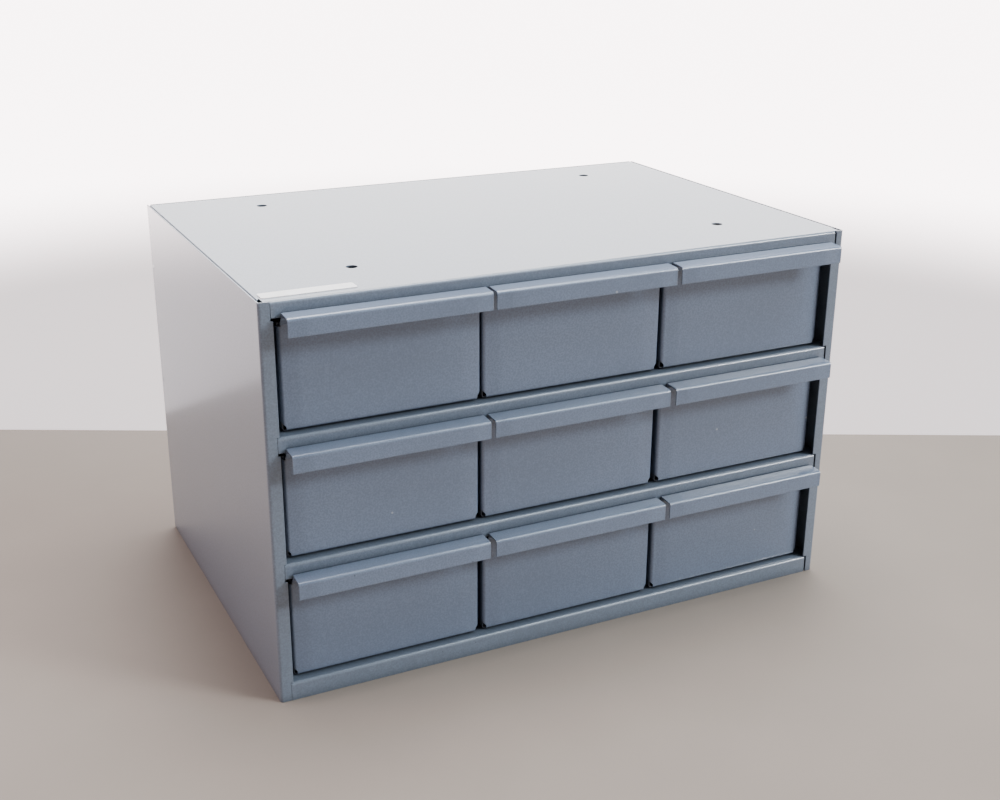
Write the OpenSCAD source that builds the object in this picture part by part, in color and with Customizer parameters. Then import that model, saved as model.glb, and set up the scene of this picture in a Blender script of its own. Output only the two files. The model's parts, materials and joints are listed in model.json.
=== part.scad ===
// Small-parts cabinet of folded sheet steel with nine pull-out drawers, in millimetres.
// Origin: centre of the base of the whole object's box. +X is its right, the drawers face -Y, +Z is up.

/* [Cabinet] */
// Outside width over the side panels
cab_w = 438.15; // [420:0.05:480]
// Outside depth from the stiles to the back panel
cab_d = 295.3; // [260:0.1:360]
// Rise of the bottom panel's surface above the floor
base_rise = 13.1; // [11:0.1:20]
// Height from one drawer row to the next
row_pitch = 87.7; // [80:0.1:120]
// Thickness of the cabinet's sheet
sheet_t = 1; // [0.8:0.1:1.2]
// Width of the stile folded from each side panel's front edge
stile_w = 9.1; // [8.5:0.1:12]
// Width of the left stile beside a shelf's front flange
notch_w_left = 7.5; // [6.5:0.1:7.5]
// Width of the right stile beside a shelf's front flange
notch_w_right = 6.2; // [5.5:0.1:7.5]
// Height of the front flange of the top panel and of each shelf
flange_h = 10.4; // [8:0.1:11]

/* [Fixing holes] */
// Hole spacing across the width
hole_dx = 285.75; // [200:0.05:300]
// Hole spacing along the depth
hole_dy = 200; // [150:1:220]
// Diameter of each fixing hole
hole_d = 7.94; // [5:0.02:10]

/* [Drawers] */
// Gap between a stile and the drawer front beside it
side_gap = 3; // [2:0.1:5]
// Gap between neighbouring drawer fronts
front_gap = 2.2; // [1.9:0.1:4]
// How much narrower the pull is than its drawer front
pull_narrower = 1.3; // [0:0.1:4]
// Gap between a drawer's back and the outside of the back panel
rear_gap = 5.8; // [4:0.1:40]
// Drop from the panel above to a drawer's side walls
wall_drop = 16.2; // [15.5:0.1:40]
// Thickness of the drawers' sheet
drawer_t = 0.8; // [0.6:0.1:0.9]
// Depth of a drawer's face behind the stiles
face_recess = 6.5; // [6:0.1:7]
// Reach of the pull in front of the stiles
pull_reach = 14; // [12:0.5:16]
// Height of the pull's hanging lip
lip_h = 12; // [8:0.5:14]

/* [Label] */
// Length of the paper strip on the top
label_w = 61.5; // [30:0.5:90]
// Width of the paper strip
label_d = 11; // [8:0.5:20]

/* [Hidden] */
rows = 3;
columns = 3;
cab_h = base_rise + rows * row_pitch;
front_y = -(cab_d + pull_reach) / 2 + pull_reach;
back_y = front_y + cab_d;
face_y = front_y + face_recess;
fit_gap = 0.3;

opening_w = cab_w - 2 * stile_w;
front_w = (opening_w - 2 * side_gap - (columns - 1) * front_gap) / columns;
column_pitch = front_w + front_gap;
pull_w = front_w - pull_narrower;
drawer_len = cab_d - face_recess - rear_gap;
wall_h = row_pitch - wall_drop;

bend_r = 2;             // outside radius of the cabinet's visible bends
tight_r = 1.3;          // outside radius of its hidden bends
rim_h = 1.4;            // depth of the top panel's short rear side rims
bend_steps = 8;         // facets in each bend
side_flange_h = 12;
flange_in = 7.7;        // where the shelves' front flanges start, from the cabinet's side
flange_strip = 12;      // depth of the strip of top that comes with a front flange
notch_drop = 2;         // the stile's notch goes this far below the flange beside it
notch_rise = 0.4;       // and this far above it
rear_inset = 4;         // the rear flange stops this far inside the side flanges
overlap = 1;            // how far joined shapes of one sheet run into each other
foot_w = 9;
relief_w = 2.4;         // relief at each front corner of the top panel, cut down through its side flange
relief_near = 5;        // its depth beside the side panel
relief_d = 8.5;         // its greatest depth
relief_h = 5;
hole_cx = 3.5;          // the hole pattern sits a little to the right of centre
hole_back = 40.1;       // from the back to the rear pair of holes
weld_d = 5;             // low weld marks along the side panels' rear edges
weld_h = 0.3;
weld_z = 42;
weld_pitch = 92.5;

guide_h = 9;
guide_foot = 1;         // reach of a guide's foot from the middle of its blade
guide_bend_r = 1.1;
guide_y0 = face_y + 18; // clear of the drawer front's side flanges
guide_y1 = back_y - 16; // clear of the rear flange

drawer_gap = 0.3;       // running gap under each tray
front_lift = drawer_gap + drawer_t + 0.05; // gap between a shelf and the front's lower edge
face_bend_r = 2.6;      // outside radius of a drawer front's vertical edges
side_return = 14;       // how far the front's side flanges reach along the tray
side_stop = 1.5;        // how far below the step those flanges and their bends end
corner_w = 2.8;         // relief at each lower corner of the front
corner_h = 3;
corner_rise = 3.6;      // the relief's upper edge rises this much towards the front's side
lower_bend_r = 1.6;     // outside radius of the front's lower edge and of the back's bends
lower_flange = 2.4;     // height of the folded strip that forms the front's lower edge
step_z = row_pitch - 16.7; // height where the face steps forwards to pass in front of the flange
step_h = 5.4;           // height of that step
pull_top_z = row_pitch - 7.1; // highest point of the pull above its shelf
pull_rear = 0.9;        // middle of the pull's rear wall, in front of the stiles
pull_fall = 0.5;        // how far the pull's top falls towards its lip
pull_bend_r = 2.1;
foot_bend = 0.6;        // middle radii of the bends where the face steps out and turns up
wall_bend = 1.2;
rear_bend = 1;          // middle radius of the bend at the back of the pull's top
// How far each drawer rests from the middle of its side play, row by row from the top
resting_shift = [[0.9, 0, 0.4], [-0.4, -0.5, 0.9], [-0.6, 0.4, 0.9]];
tray_w = front_w - 2 * drawer_t - 0.1; // the tray sits just inside the front's side flanges
tray_bend = 1.6;        // middle radius of the tray's lower bends
tray_y0 = face_bend_r + 0.4; // the tray starts behind the front's vertical bends
hem_w = 5;
hem_r = 0.1;            // inside radius of the hem
slot_w = 1.6;
slot_h = 14;
slot_z = 24;
slot_pitch = 25.4;
slot_start = 40;        // from the face to the first pair of slots
slot_end = 39;          // room kept behind the last pair
slot_count = 1 + floor((drawer_len - slot_start - slot_end) / slot_pitch);
divider_slot = 5;       // the slot pair that holds the divider
ear_len = 14;
ear_back = 38;          // from the drawer's back to the stop ears
ear_top = row_pitch - 5.7; // higher than the lower edge of the flange that stops them
ear_root = 3;           // how far an ear runs down into the wall
ear_chamfer = 4;
divider_h = wall_h - 15.5;
tab_h = 10;
back_flange = 10;
back_low = 6;           // height of the back's lower folded strip
back_inset = 0.2;       // the back stands this far inside the tray's rear end
tray_fit = 0.1;         // gap between the tray and what stands in it
thumb_r = 9;            // finger dip in the top edge of the divider
thumb_rise = 2;         // height of the dip's centre above that edge
label_t = 0.4;
label_corner_r = 1.5;
label_corner_steps = 6;
label_inset = [4.9, 7.8]; // from the cabinet's left side and from its front

DRAWER_PARTS = ["drawer_tray", "drawer_front", "drawer_back", "divider"];
SHELL_PARTS = ["side_panel_left", "side_panel_right", "top_panel", "shelf_upper", "shelf_lower",
               "bottom_panel", "back_panel", "paper_label"];

cabinet_colour = [0.50, 0.54, 0.58];
drawer_colour = [0.46, 0.51, 0.56];
inner_colour = [0.42, 0.46, 0.50];

// Row 1 is the top row and column 1 is the left one.
function shelf_z(r) = base_rise + (rows - r) * row_pitch;
function column_x(c) = (c - (columns + 1) / 2) * column_pitch;
function drawer_x(r, c) = column_x(c) + resting_shift[r - 1][c - 1];

// Outline of a folded sheet: path is the sheet's middle line, with one bend radius per inner point.
function heading(a, b) = atan2(b[1] - a[1], b[0] - a[0]);
function turning(a, b) = let (d = b - a) d > 180 ? d - 360 : d <= -180 ? d + 360 : d;
function beside(p, angle, d) = [p[0] - d * sin(angle), p[1] + d * cos(angle)];
function along(p, angle, d) = [p[0] + d * cos(angle), p[1] + d * sin(angle)];
function bend(a, b, c, r) =
    let (
        h = heading(a, b),
        turn = turning(h, heading(b, c)),
        way = turn > 0 ? 1 : -1,
        start = along(b, h, -r * tan(abs(turn) / 2)),
        centre = beside(start, h, way * r),
        steps = max(2, ceil(bend_steps * abs(turn) / 90))
    )
    [for (i = [0:steps]) let (now = h + turn * i / steps) [beside(centre, now, -way * r), now]];
function fold_line(path, radii) = concat(
    [[path[0], heading(path[0], path[1])]],
    [for (i = [1:len(path) - 2]) each bend(path[i - 1], path[i], path[i + 1], radii[i - 1])],
    [[path[len(path) - 1], heading(path[len(path) - 2], path[len(path) - 1])]]
);
function sheet_outline(path, radii, t) =
    let (line = fold_line(path, radii))
    concat(
        [for (q = line) beside(q[0], q[1], t / 2)],
        [for (i = [len(line) - 1:-1:0]) beside(line[i][0], line[i][1], -t / 2)]
    );

module sheet_profile(path, radii, t) {
    polygon(sheet_outline(path, radii, t));
}

// A profile drawn in Y and Z, run along X from x0 to x1.
module run_x(x0, x1) {
    translate([x0, 0, 0])
        rotate([90, 0, 90])
            linear_extrude(x1 - x0)
                children();
}

// A profile drawn in X and Z, run along Y from y0 to y1.
module run_y(y0, y1) {
    translate([0, y1, 0])
        rotate([90, 0, 0])
            linear_extrude(y1 - y0)
                children();
}

// A profile drawn in X and Y, run along Z from z0 to z1.
module run_z(z0, z1) {
    translate([0, 0, z0])
        linear_extrude(z1 - z0)
            children();
}

module block(low, high) {
    translate(low)
        cube(high - low);
}

// ---- cabinet shell ----

flange_tops = concat([cab_h], [for (r = [1:rows]) shelf_z(r)]);
flange_heights = concat([flange_h], [for (r = [1:rows - 1]) flange_h], [base_rise]);

// Left side panel: a flat sheet with the stile folded inwards, and low weld marks along its rear edge.
module side_sheet(notch_w) {
    m = sheet_t / 2;
    difference() {
        run_z(0, cab_h)
            sheet_profile(
                [[-cab_w / 2 + m, back_y],
                 [-cab_w / 2 + m, front_y + m],
                 [-cab_w / 2 + stile_w, front_y + m]],
                [bend_r - m], sheet_t);
        for (i = [0:rows]) {
            low = flange_tops[i] - flange_heights[i] - notch_drop;
            high = flange_tops[i] + notch_rise;
            block([-cab_w / 2 + notch_w, front_y - overlap, i == rows ? -overlap : low],
                  [-cab_w / 2 + stile_w + overlap, front_y + sheet_t + overlap, high]);
        }
    }
    for (i = [0:rows - 1])
        translate([-cab_w / 2, back_y - weld_d, weld_z + i * weld_pitch])
            rotate([0, -90, 0])
                cylinder(h = weld_h, d1 = weld_d, d2 = weld_d / 2, $fn = 24);
}

module side_panel_left() {
    color(cabinet_colour)
        side_sheet(notch_w_left);
}

module side_panel_right() {
    color(cabinet_colour)
        mirror([1, 0, 0])
            side_sheet(notch_w_right);
}

inside_x = cab_w / 2 - sheet_t - fit_gap;
inside_back = back_y - sheet_t - fit_gap;
side_y0 = front_y + 2 * sheet_t + fit_gap;
side_y1 = back_y - side_flange_h - fit_gap;

// The flat top of a shelf or panel with its side flanges folded down.
module side_folded(top, drop, y0, y1) {
    m = sheet_t / 2;
    run_y(y0, y1)
        sheet_profile(
            [[-inside_x + m, top - drop],
             [-inside_x + m, top - m],
             [inside_x - m, top - m],
             [inside_x - m, top - drop]],
            [tight_r - m, tight_r - m], sheet_t);
}

// The flat top runs forwards behind the stiles.
module front_corners(top) {
    block([-inside_x + sheet_t, front_y + sheet_t + fit_gap, top - sheet_t],
          [inside_x - sheet_t, side_y0 + overlap, top]);
}

// The front flange, its bend and a strip of the top, between the stiles.
module front_folded(top, drop) {
    m = sheet_t / 2;
    run_x(-cab_w / 2 + flange_in, cab_w / 2 - flange_in)
        sheet_profile(
            [[front_y + m, top - drop],
             [front_y + m, top - m],
             [front_y + flange_strip, top - m]],
            [bend_r - m], sheet_t);
}

// The rear flange, its bend and a strip of the top, inside the side flanges.
module rear_folded(top, drop) {
    m = sheet_t / 2;
    run_x(-inside_x + rear_inset, inside_x - rear_inset)
        sheet_profile(
            [[side_y1 - 2 * overlap, top - m],
             [inside_back - m, top - m],
             [inside_back - m, top - drop]],
            [tight_r - m], sheet_t);
}

module folded_panel(top) {
    front_folded(top, flange_h);
    front_corners(top);
    side_folded(top, side_flange_h, side_y0, side_y1);
    rear_folded(top, side_flange_h);
}

module top_panel() {
    color(cabinet_colour)
        difference() {
            union() {
                folded_panel(cab_h);
                side_folded(cab_h, rim_h, side_y1 - overlap, inside_back - tight_r);
            }
            for (dx = [-1, 1], dy = [0, 1])
                translate([hole_cx + dx * hole_dx / 2, back_y - hole_back - dy * hole_dy, cab_h])
                    cylinder(h = 4 * sheet_t, d = hole_d, center = true, $fn = 48);
            for (dx = [-1, 1])
                translate([dx * inside_x, front_y + sheet_t, cab_h - relief_h])
                    linear_extrude(relief_h + overlap)
                        polygon([[dx * overlap, 0],
                                 [dx * overlap, relief_near],
                                 [0, relief_near],
                                 [-dx * relief_w, relief_d],
                                 [-dx * relief_w, 0]]);
        }
}

module shelf_upper() {
    color(cabinet_colour)
        folded_panel(shelf_z(1));
}

module shelf_lower() {
    color(cabinet_colour)
        folded_panel(shelf_z(2));
}

// Bottom panel: its flanges stand on the floor, and the side ones turn inwards as feet.
module bottom_panel() {
    m = sheet_t / 2;
    top = base_rise;
    color(cabinet_colour) {
        front_folded(top, base_rise);
        front_corners(top);
        rear_folded(top, base_rise);
        run_y(side_y0, side_y1)
            sheet_profile(
                [[-inside_x + foot_w, m],
                 [-inside_x + m, m],
                 [-inside_x + m, top - m],
                 [inside_x - m, top - m],
                 [inside_x - m, m],
                 [inside_x - foot_w, m]],
                [for (i = [0:3]) tight_r - m], sheet_t);
    }
}

// Back panel: a sheet that closes the rear, with side flanges folded forwards inside the side panels.
module back_panel() {
    m = sheet_t / 2;
    color(cabinet_colour) {
        run_z(0, cab_h - 2 * sheet_t)
            sheet_profile(
                [[-inside_x + m, back_y - side_flange_h],
                 [-inside_x + m, back_y - m],
                 [inside_x - m, back_y - m],
                 [inside_x - m, back_y - side_flange_h]],
                [tight_r - m, tight_r - m], sheet_t);
        block([-inside_x + tight_r, back_y - sheet_t, cab_h - 3 * sheet_t],
              [inside_x - tight_r, back_y, cab_h]);
    }
}

function corner_arc(centre, from) =
    [for (i = [0:label_corner_steps]) along(centre, from + 90 * i / label_corner_steps, label_corner_r)];

// Paper strip with rounded corners, stuck on the top.
module paper_label() {
    color("white")
        translate([label_inset[0] - cab_w / 2, front_y + label_inset[1], cab_h])
            linear_extrude(label_t)
                polygon(concat(
                    corner_arc([label_corner_r, label_corner_r], 180),
                    corner_arc([label_w - label_corner_r, label_corner_r], 270),
                    corner_arc([label_w - label_corner_r, label_d - label_corner_r], 0),
                    corner_arc([label_corner_r, label_d - label_corner_r], 90)));
}

// Drawer guide: a low blade with a narrow foot, on a shelf beside a drawer.
module drawer_guide(r, g) {
    m = sheet_t / 2;
    color(inner_colour)
        translate([column_x(g) - column_pitch / 2, 0, shelf_z(r)])
            run_y(guide_y0, guide_y1)
                sheet_profile([[guide_foot, m], [0, m], [0, guide_h]], [guide_bend_r - m], sheet_t);
}

// ---- drawers, each drawn with its face plane at y = 0 and its shelf at z = 0 ----

module place_drawer(r, c) {
    translate([drawer_x(r, c), face_y, shelf_z(r)])
        children();
}

// Tray: bottom and two hemmed side walls, with divider slots and stop ears.
module drawer_tray(r, c) {
    m = drawer_t / 2;
    x = tray_w / 2 - m;
    low = drawer_gap + m;
    ear_y = drawer_len - ear_back;
    color(inner_colour)
        place_drawer(r, c) {
            difference() {
                run_y(tray_y0, drawer_len)
                    sheet_profile(
                        [[-x + drawer_t + 2 * hem_r, wall_h - hem_w],
                         [-x + drawer_t + 2 * hem_r, wall_h - m],
                         [-x, wall_h - m],
                         [-x, low],
                         [x, low],
                         [x, wall_h - m],
                         [x - drawer_t - 2 * hem_r, wall_h - m],
                         [x - drawer_t - 2 * hem_r, wall_h - hem_w]],
                        [m + hem_r, m + hem_r, tray_bend, tray_bend, m + hem_r, m + hem_r], drawer_t);
                for (i = [0:slot_count - 1])
                    block([-tray_w, slot_start + i * slot_pitch - slot_w / 2, slot_z],
                          [tray_w, slot_start + i * slot_pitch + slot_w / 2, slot_z + slot_h]);
            }
            for (side = [-1, 1])
                translate([side * x - m, 0, 0])
                    rotate([90, 0, 90])
                        linear_extrude(drawer_t)
                            polygon([[ear_y - ear_len, wall_h - ear_root],
                                     [ear_y - ear_len, ear_top],
                                     [ear_y - ear_chamfer, ear_top],
                                     [ear_y, ear_top - ear_chamfer],
                                     [ear_y, wall_h - ear_root]]);
        }
}

// Front: a face with folded side and bottom flanges, stepped forwards at its top into a hooded pull.
module drawer_front(r, c) {
    m = drawer_t / 2;
    half = front_w / 2;
    pull_half = pull_w / 2;
    flat = half - face_bend_r;
    foot = half - corner_w;
    wall_y = -face_recess - pull_rear;
    lip_y = -face_recess - pull_reach + m;
    top_z = pull_top_z - m;
    color(drawer_colour)
        place_drawer(r, c) {
            difference() {
                run_x(-pull_half, pull_half)
                    sheet_profile(
                        [[m, step_z - overlap],
                         [m, step_z],
                         [wall_y, step_z + step_h],
                         [wall_y, top_z],
                         [lip_y, top_z - pull_fall],
                         [lip_y, top_z - pull_fall - lip_h + m]],
                        [foot_bend, wall_bend, rear_bend, pull_bend_r - m], drawer_t);
                for (side = [-1, 1])
                    run_y(wall_y - drawer_t, 2 * drawer_t)
                        polygon([[side * flat, step_z - 2 * overlap],
                                 [side * pull_half, step_z + step_h],
                                 [side * half, step_z - 2 * overlap]]);
            }
            run_y(0, drawer_t)
                polygon([[-flat, step_z],
                         [flat, step_z],
                         [flat, front_lift + corner_h],
                         [foot, front_lift + lower_bend_r],
                         [-foot, front_lift + lower_bend_r],
                         [-flat, front_lift + corner_h]]);
            run_x(-foot, foot)
                sheet_profile(
                    [[side_return, front_lift + m], [m, front_lift + m], [m, front_lift + lower_flange]],
                    [lower_bend_r - m], drawer_t);
            difference() {
                run_z(front_lift + corner_h, step_z - side_stop)
                    sheet_profile(
                        [[-half + m, side_return],
                         [-half + m, m],
                         [half - m, m],
                         [half - m, side_return]],
                        [face_bend_r - m, face_bend_r - m], drawer_t);
                for (side = [-1, 1])
                    run_y(-overlap, side_return + overlap)
                        polygon([[side * flat, 0],
                                 [side * flat, front_lift + corner_h],
                                 [side * (half + overlap), front_lift + corner_h + corner_rise],
                                 [side * (half + overlap), 0]]);
            }
        }
}

// Back: a wall inside the tray's rear end, with its flanges folded forwards.
module drawer_back(r, c) {
    m = drawer_t / 2;
    half = tray_w / 2 - 2 * drawer_t - 2 * hem_r - tray_fit;
    low = drawer_gap + drawer_t + tray_fit;
    rear = drawer_len - m - back_inset;
    color(inner_colour)
        place_drawer(r, c) {
            run_z(low + lower_flange, wall_h)
                sheet_profile(
                    [[-half + m, drawer_len - back_flange],
                     [-half + m, rear],
                     [half - m, rear],
                     [half - m, drawer_len - back_flange]],
                    [lower_bend_r - m, lower_bend_r - m], drawer_t);
            run_x(-half + 2 * lower_bend_r, half - 2 * lower_bend_r)
                sheet_profile(
                    [[drawer_len - back_flange, low + m],
                     [rear, low + m],
                     [rear, low + back_low]],
                    [lower_bend_r - m], drawer_t);
        }
}

// Divider: a loose cross plate with a finger dip, hooked into one pair of slots.
module divider(r, c) {
    half = tray_w / 2 - 2 * drawer_t - 2 * hem_r - fit_gap;
    low = drawer_gap + drawer_t + fit_gap;
    y = slot_start + (divider_slot - 1) * slot_pitch;
    color(inner_colour)
        place_drawer(r, c)
            run_y(y - drawer_t / 2, y + drawer_t / 2)
                difference() {
                    union() {
                        translate([-half, low])
                            square([2 * half, divider_h - low]);
                        translate([-tray_w / 2 + tray_fit, slot_z + (slot_h - tab_h) / 2])
                            square([tray_w - 2 * tray_fit, tab_h]);
                    }
                    translate([0, divider_h + thumb_rise])
                        circle(r = thumb_r, $fn = 48);
                }
}

// ---- one drawing line per node ----

side_panel_left();
side_panel_right();
top_panel();
shelf_upper();
shelf_lower();
bottom_panel();
back_panel();
paper_label();
for (r = [1:rows], g = [1:columns + 1])
    drawer_guide(r, g);
for (r = [1:rows], c = [1:columns]) {
    drawer_tray(r, c);
    drawer_front(r, c);
    drawer_back(r, c);
    divider(r, c);
}
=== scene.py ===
import json
import math

import bpy
from mathutils import Matrix, Vector


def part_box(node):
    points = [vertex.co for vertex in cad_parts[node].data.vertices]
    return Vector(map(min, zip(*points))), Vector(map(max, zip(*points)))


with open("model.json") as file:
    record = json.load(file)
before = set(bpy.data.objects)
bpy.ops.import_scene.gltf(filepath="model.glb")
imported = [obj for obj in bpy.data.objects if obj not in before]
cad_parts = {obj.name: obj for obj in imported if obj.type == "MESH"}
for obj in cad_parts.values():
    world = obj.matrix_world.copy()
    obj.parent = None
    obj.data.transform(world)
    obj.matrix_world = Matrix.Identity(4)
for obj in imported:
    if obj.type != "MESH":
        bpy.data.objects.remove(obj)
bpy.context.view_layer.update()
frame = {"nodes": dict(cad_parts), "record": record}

MM = 0.001

# Finishes, as linear colours
CABINET_PAINT = (0.142, 0.184, 0.244)
FRONT_PAINT = (0.128, 0.174, 0.256)
INNER_PAINT = (0.122, 0.154, 0.200)
BARE_EDGE = (0.46, 0.49, 0.53)
DUST = (0.30, 0.31, 0.32)
PAPER = (0.97, 0.97, 0.965)
FLOOR = (0.245, 0.208, 0.175)
WALL = (0.10, 0.10, 0.10)
GLOW = (1.0, 0.88, 0.885)
WHITE_FROM = 0.258              # the floor is white from here on, behind the object's centre
GLOW_NEAR = 1.35                # how strongly the white floor glows beside the object
GLOW_FAR = 8.0                  # and further off, where it stands for the bright wall behind
BACKDROP_GLOW = 1.6
FLOOR_START, WHITE_END = -8.0, 10.0
GROUND_HALF_WIDTH = 9.0
RING_RADIUS, RING_FOOT, RING_HEIGHT, RING_STEPS = 9.0, -0.01, 1.8, 48
WORLD_STRENGTH = 0.02

# Each light's name, its bearing from the middle of the object, its distance, size, power and colour
LIGHT_TARGET = Vector((0.0, 0.0, 0.14))
LIGHTS = (
    ("key_right", (1.0, -1.0, 0.80), 7.0, (1.6, 1.6), 395.0, (0.97, 0.985, 1.0)),
    ("glint_above", (0.45, -0.40, 0.85), 2.4, (0.7, 0.7), 26.0, (0.80, 0.92, 1.0)),
    ("window_behind", (0.45, 0.95, 0.42), 2.6, (2.6, 1.2), 40.0, (1.0, 0.98, 0.98)),
    ("overhead", (0.1, 0.1, 1.0), 2.4, (1.6, 1.6), 125.0, (1.0, 0.985, 1.0)),
    ("fill_left", (-1.0, 0.2, 0.5), 2.4, (1.2, 1.2), 30.0, (1.0, 0.76, 0.79)),
)

# Sizes in the enamel: noise scales are per metre, and the rest are lengths
CLOUD_SCALE, MOTTLE_SCALE, GRAIN_SCALE = 9.0, 260.0, 900.0
PEEL_SCALE, PEEL_HEIGHT = 620.0, 0.036 * MM
OIL_CAN_SCALE, OIL_CAN_HEIGHT = 7.0, 0.35 * MM
WEAR_PATCH_SCALE, WEAR_RADIUS = 75.0, 0.5 * MM
# how far the painted shade reaches that darkens gaps, seams and the space under the hoods
PAINTED_SHADE_REACH = 12.0 * MM
CROWN_HEIGHT = 1.2 * MM
CROWN_SHARE = 0.11              # the share of a front's width over which it rises at each side

# Softening of the sheet's cut edges
WELD_GAP = 0.005 * MM
FLAT_ANGLE = math.radians(0.5)
EDGE_WIDTH = 0.16 * MM
EDGE_ANGLE = math.radians(50)

# The camera, in the frame's metres: it looks down at the front and the left side
CAMERA_HEIGHT = 0.5050
CAMERA_LEFT = 0.4286
CAMERA_BEFORE_CENTRE = 0.8978   # from the middle of the cabinet's own depth
CAMERA_FORWARD = Vector((0.4139, 0.8390, -0.3531))
CAMERA_ROLL = math.radians(0.33)
SENSOR_WIDTH = 36.0
FOCAL_LENGTH = 48.51


# ---- small helpers for node trees ----

class Shader:
    """A material's node tree, with one short call to add a node and join its inputs."""

    def __init__(self, name):
        self.material = bpy.data.materials.new(name)
        self.material.use_nodes = True
        self.tree = self.material.node_tree
        self.tree.nodes.clear()

    def add(self, kind, inputs=(), **settings):
        node = self.tree.nodes.new(kind)
        for name, value in settings.items():
            setattr(node, name, value)
        for name, value in dict(inputs).items():
            if isinstance(value, bpy.types.NodeSocket):
                self.tree.links.new(value, node.inputs[name])
            else:
                node.inputs[name].default_value = value
        return node

    def noise(self, where, scale, detail=3.0, roughness=0.5):
        inputs = {"Vector": where, "Scale": scale, "Detail": detail, "Roughness": roughness}
        return self.add("ShaderNodeTexNoise", inputs).outputs["Fac"]

    def ramp(self, value, low, high, to_low=0.0, to_high=1.0):
        inputs = {"Value": value, "From Min": low, "From Max": high, "To Min": to_low, "To Max": to_high}
        node = self.add("ShaderNodeMapRange", inputs, interpolation_type="SMOOTHSTEP")
        return node.outputs["Result"]

    def math(self, operation, a, b):
        return self.add("ShaderNodeMath", {0: a, 1: b}, operation=operation).outputs["Value"]

    def specks(self, where, scale, rarity, strength):
        """Small round specks of uneven size, at a few of the cells' centres."""
        cells = self.add("ShaderNodeTexVoronoi", {"Vector": where, "Scale": scale, "Randomness": 1.0})
        colour = self.add("ShaderNodeSeparateXYZ", {"Vector": cells.outputs["Color"]})
        chosen = self.math("GREATER_THAN", colour.outputs["X"], rarity)
        size = self.ramp(colour.outputs["Y"], 0.0, 1.0, 0.03, 0.085)
        dot = self.math("LESS_THAN", cells.outputs["Distance"], size)
        return self.math("MULTIPLY", self.math("MULTIPLY", chosen, dot), strength)

    def mix(self, share, a, b):
        node = self.add("ShaderNodeMix", data_type="RGBA")
        sockets = {"Factor_Float": share, "A_Color": a, "B_Color": b}
        for socket in node.inputs:
            if socket.identifier in sockets:
                value = sockets[socket.identifier]
                if isinstance(value, bpy.types.NodeSocket):
                    self.tree.links.new(value, socket)
                else:
                    socket.default_value = value if isinstance(value, float) else (*value[:3], 1.0)
        return [s for s in node.outputs if s.identifier == "Result_Color"][0]

    def bump(self, height, distance, normal=None):
        inputs = {"Height": height, "Distance": distance, "Strength": 1.0}
        if normal is not None:
            inputs["Normal"] = normal
        return self.add("ShaderNodeBump", inputs).outputs["Normal"]

    def finish(self, inputs):
        shader = self.add("ShaderNodeBsdfPrincipled", inputs)
        self.add("ShaderNodeOutputMaterial", {"Surface": shader.outputs["BSDF"]})
        return self.material


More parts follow.
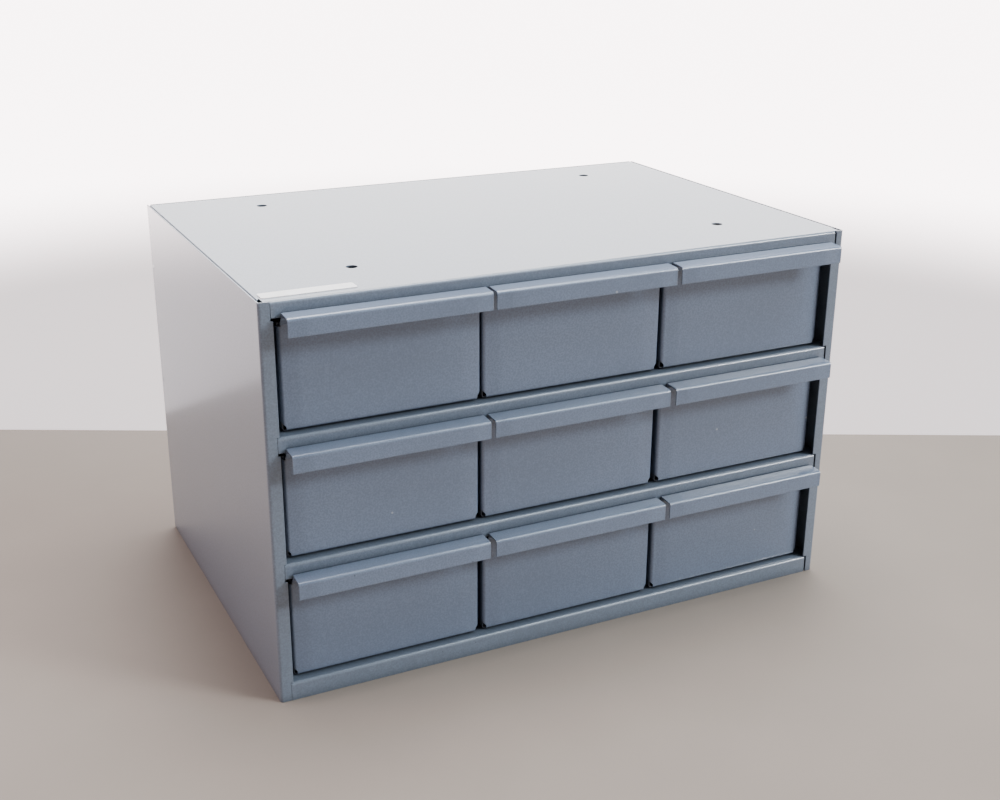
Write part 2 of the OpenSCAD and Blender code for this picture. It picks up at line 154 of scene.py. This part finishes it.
def enamel(name, paint, gloss, wear, dust, crown=False):
    """Baked enamel on folded sheet steel: orange peel, uneven gloss, specks, dust, worn edges and
    painted shade in the hollows.
    """
    s = Shader(name)
    where = s.add("ShaderNodeTexCoord").outputs["Object"]
    geometry = s.add("ShaderNodeNewGeometry")
    upward = s.add("ShaderNodeSeparateXYZ", {"Vector": geometry.outputs["Normal"]}).outputs["Z"]

    cloud = s.noise(where, CLOUD_SCALE, detail=4.0)
    mottle = s.noise(where, MOTTLE_SCALE, detail=4.0)
    grain = s.noise(where, GRAIN_SCALE, detail=2.0)
    darker = tuple(0.93 * c for c in paint)
    lighter = tuple(min(1.0, 1.06 * c) for c in paint)
    colour = s.mix(s.ramp(cloud, 0.35, 0.65), darker, lighter)
    colour = s.mix(s.ramp(mottle, 0.35, 0.7, 0.0, 0.6), colour, tuple(min(1.0, 1.12 * c) for c in paint))
    colour = s.mix(s.ramp(grain, 0.35, 0.65, 0.0, 0.7), colour, tuple(0.80 * c for c in paint))

    colour = s.mix(s.specks(where, 118.0, 0.92, 0.65), colour, tuple(0.30 * c for c in paint))
    colour = s.mix(s.specks(where, 97.0, 0.95, 0.45), colour, BARE_EDGE)
    settled = s.math("MULTIPLY", s.ramp(upward, 0.55, 1.0), s.ramp(cloud, 0.30, 0.75, dust * 0.4, dust))
    colour = s.mix(settled, colour, DUST)

    rounded = s.add("ShaderNodeBevel", {"Radius": WEAR_RADIUS}, samples=4).outputs["Normal"]
    normals = {0: rounded, 1: geometry.outputs["Normal"]}
    facing = s.add("ShaderNodeVectorMath", normals, operation="DOT_PRODUCT")
    at_edge = s.ramp(facing.outputs["Value"], 0.96, 0.80)
    patches = s.ramp(s.noise(where, WEAR_PATCH_SCALE, detail=5.0, roughness=0.65), 0.42, 0.66, 0.15, 1.0)
    worn = s.math("MULTIPLY", s.math("MULTIPLY", at_edge, patches), wear)
    colour = s.mix(worn, colour, BARE_EDGE)

    uneven = s.math("ADD", s.math("MULTIPLY", cloud, 0.10), s.math("MULTIPLY", mottle, 0.06))
    roughness = s.math("ADD", s.math("ADD", uneven, gloss - 0.08), s.math("MULTIPLY", settled, 0.25))

    # Painted shade: the colour darkens towards a quarter of the paint wherever nearby sheets close round
    # the surface, in gaps, seams, hollows and under the hoods
    painted_shade = s.add("ShaderNodeAmbientOcclusion", {"Distance": PAINTED_SHADE_REACH}, samples=6).outputs["AO"]
    colour = s.mix(s.ramp(painted_shade, 0.30, 0.88, 0.75, 0.0), colour, tuple(0.25 * c for c in paint))

    oil_can = s.bump(s.noise(where, OIL_CAN_SCALE, detail=1.0), OIL_CAN_HEIGHT, normal=rounded)
    if crown:
        own_box = s.add("ShaderNodeTexCoord").outputs["Generated"]
        across = s.add("ShaderNodeSeparateXYZ", {"Vector": own_box}).outputs["X"]
        from_edge = s.math("MINIMUM", across, s.math("SUBTRACT", 1.0, across))
        oil_can = s.bump(s.ramp(from_edge, 0.0, CROWN_SHARE), CROWN_HEIGHT, normal=oil_can)
    peel = s.bump(s.noise(where, PEEL_SCALE, detail=2.0), PEEL_HEIGHT, normal=oil_can)
    return s.finish({
        "Base Color": colour,
        "Roughness": roughness,
        "Normal": peel,
        "IOR": 1.52,
        "Coat Weight": 0.85,
        "Coat Roughness": 0.14,
    })


def paper(name):
    """Matt paper with a fibre grain, a little yellowed in faint patches."""
    s = Shader(name)
    where = s.add("ShaderNodeTexCoord").outputs["Object"]
    fibre = s.noise(where, 900.0, detail=6.0, roughness=0.7)
    stain = s.noise(where, 38.0, detail=3.0)
    colour = s.mix(s.ramp(stain, 0.40, 0.72, 0.0, 0.25), PAPER, (0.80, 0.75, 0.66))
    colour = s.mix(s.ramp(fibre, 0.30, 0.70, 0.0, 0.12), colour, (0.95, 0.94, 0.91))
    return s.finish({
        "Base Color": colour,
        "Roughness": s.ramp(fibre, 0.2, 0.8, 0.55, 0.70),
        "Normal": s.bump(fibre, 0.03 * MM),
        "IOR": 1.45,
    })


def plain(name, colour, roughness, grain, glow_near=0.0, glow_far=0.0):
    """A plain studio surface with a faint grain, which may glow, and may glow more further out."""
    s = Shader(name)
    where = s.add("ShaderNodeTexCoord").outputs["Object"]
    tone = s.noise(where, grain, detail=5.0)
    shade = s.mix(s.ramp(tone, 0.3, 0.7), tuple(0.96 * c for c in colour), colour)
    distance = s.add("ShaderNodeVectorMath", {0: where}, operation="LENGTH").outputs["Value"]
    return s.finish({
        "Base Color": shade,
        "Roughness": roughness,
        "Emission Color": (*GLOW, 1.0),
        "Emission Strength": s.ramp(distance, 0.95, 1.7, glow_near, glow_far),
    })


# ---- the cabinet's own pieces keep their CAD meshes, with smooth bends and softened sheet edges ----

def soften(piece):
    """Joins the facets of each bend into a smooth surface and rounds the sheet's cut edges a little."""
    mesh = piece.data
    mesh.shade_smooth()
    if "custom_normal" in mesh.attributes:
        mesh.attributes.remove(mesh.attributes["custom_normal"])
    weld = piece.modifiers.new("weld", "WELD")
    weld.merge_threshold = WELD_GAP
    flat = piece.modifiers.new("flat", "DECIMATE")
    flat.decimate_type = "DISSOLVE"
    flat.angle_limit = FLAT_ANGLE
    bevel = piece.modifiers.new("bevel", "BEVEL")
    bevel.width = EDGE_WIDTH
    bevel.segments = 2
    bevel.limit_method = "ANGLE"
    bevel.angle_limit = EDGE_ANGLE
    bevel.use_clamp_overlap = True
    bevel.loop_slide = False
    normals = piece.modifiers.new("normals", "WEIGHTED_NORMAL")
    normals.keep_sharp = False


def paint(piece, material):
    piece.data.materials.clear()
    piece.data.materials.append(material)


FINISHES = {
    "cabinet_enamel": enamel("cabinet_enamel", CABINET_PAINT, gloss=0.36, wear=0.18, dust=0.12),
    "drawer_front_enamel": enamel(
        "drawer_front_enamel", FRONT_PAINT, gloss=0.42, wear=0.45, dust=0.10, crown=True),
    "drawer_tray_enamel": enamel("drawer_tray_enamel", INNER_PAINT, gloss=0.46, wear=0.45, dust=0.15),
    "divider_enamel": enamel("divider_enamel", INNER_PAINT, gloss=0.44, wear=0.50, dust=0.10),
    "guide_enamel": enamel("guide_enamel", INNER_PAINT, gloss=0.44, wear=0.80, dust=0.10),
    "label_paper": paper("label_paper"),
}
for part in frame["record"]["subparts"]:
    piece = frame["nodes"][part["node"]]
    paint(piece, FINISHES[part["material_slot"]])
    if part["node"] != "paper_label":
        soften(piece)


# ---- studio: a pale floor that turns white behind the object, soft lights and the camera ----

def stage_mesh(name, points, faces, material):
    mesh = bpy.data.meshes.new(name)
    mesh.from_pydata(points, [], faces)
    mesh.materials.append(material)
    surface = bpy.data.objects.new(name, mesh)
    bpy.context.scene.collection.objects.link(surface)


def ground(name, start, end, material):
    """A level sheet across the view, from start to end along the camera's heading."""
    ahead = Vector((CAMERA_FORWARD.x, CAMERA_FORWARD.y, 0.0)).normalized()
    across = Vector((ahead.y, -ahead.x, 0.0)) * GROUND_HALF_WIDTH
    points = [ahead * start - across, ahead * start + across, ahead * end + across, ahead * end - across]
    stage_mesh(name, points, [(0, 1, 2, 3)], material)


def backdrop(name, material):
    """A far, low ring that closes the horizon all round."""
    angles = [2 * math.pi * i / RING_STEPS for i in range(RING_STEPS)]
    ring = [(RING_RADIUS * math.cos(angle), RING_RADIUS * math.sin(angle)) for angle in angles]
    points = [(x, y, z) for z in (RING_FOOT, RING_HEIGHT) for x, y in ring]
    following = [(i + 1) % RING_STEPS for i in range(RING_STEPS)]
    faces = [(i, after, RING_STEPS + after, RING_STEPS + i) for i, after in enumerate(following)]
    stage_mesh(name, points, faces, material)


ground("studio_floor", FLOOR_START, WHITE_FROM, plain("floor_stone", FLOOR, 0.7, 12.0))
ground("studio_white", WHITE_FROM, WHITE_END, plain("floor_white", WALL, 0.9, 6.0, GLOW_NEAR, GLOW_FAR))
backdrop("studio_backdrop", plain("backdrop_white", WALL, 0.9, 2.0, BACKDROP_GLOW, BACKDROP_GLOW))


def softbox(name, direction, distance, size, power, colour):
    """A soft light on the given bearing from the middle of the object, turned to face it."""
    aim = Vector(direction).normalized()
    lamp = bpy.data.lights.new(name, "AREA")
    lamp.shape = "RECTANGLE"
    lamp.size, lamp.size_y = size
    lamp.energy = power
    lamp.color = colour
    box = bpy.data.objects.new(name, lamp)
    box.location = LIGHT_TARGET + aim * distance
    box.rotation_euler = (-aim).to_track_quat("-Z", "Y").to_euler()
    bpy.context.scene.collection.objects.link(box)


for light in LIGHTS:
    softbox(*light)

world = bpy.data.worlds.new("studio")
world.use_nodes = True
world.node_tree.nodes["Background"].inputs["Color"].default_value = (1.0, 0.98, 0.97, 1.0)
world.node_tree.nodes["Background"].inputs["Strength"].default_value = WORLD_STRENGTH
bpy.context.scene.world = world


def make_camera():
    forward = CAMERA_FORWARD.normalized()
    level = forward.cross(Vector((0.0, 0.0, 1.0))).normalized()
    upright = level.cross(forward)
    right = level * math.cos(CAMERA_ROLL) + upright * math.sin(CAMERA_ROLL)
    up = right.cross(forward)
    body_low, body_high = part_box("side_panel_left")
    middle_y = (body_low.y + body_high.y) / 2
    lens = bpy.data.cameras.new("camera")
    lens.sensor_fit = "HORIZONTAL"
    lens.sensor_width = SENSOR_WIDTH
    lens.lens = FOCAL_LENGTH
    camera = bpy.data.objects.new("camera", lens)
    turn = Matrix((right, up, -forward)).transposed().to_4x4()
    place = (-CAMERA_LEFT, middle_y - CAMERA_BEFORE_CENTRE, CAMERA_HEIGHT)
    camera.matrix_world = Matrix.Translation(place) @ turn
    bpy.context.scene.collection.objects.link(camera)
    bpy.context.scene.camera = camera


make_camera()
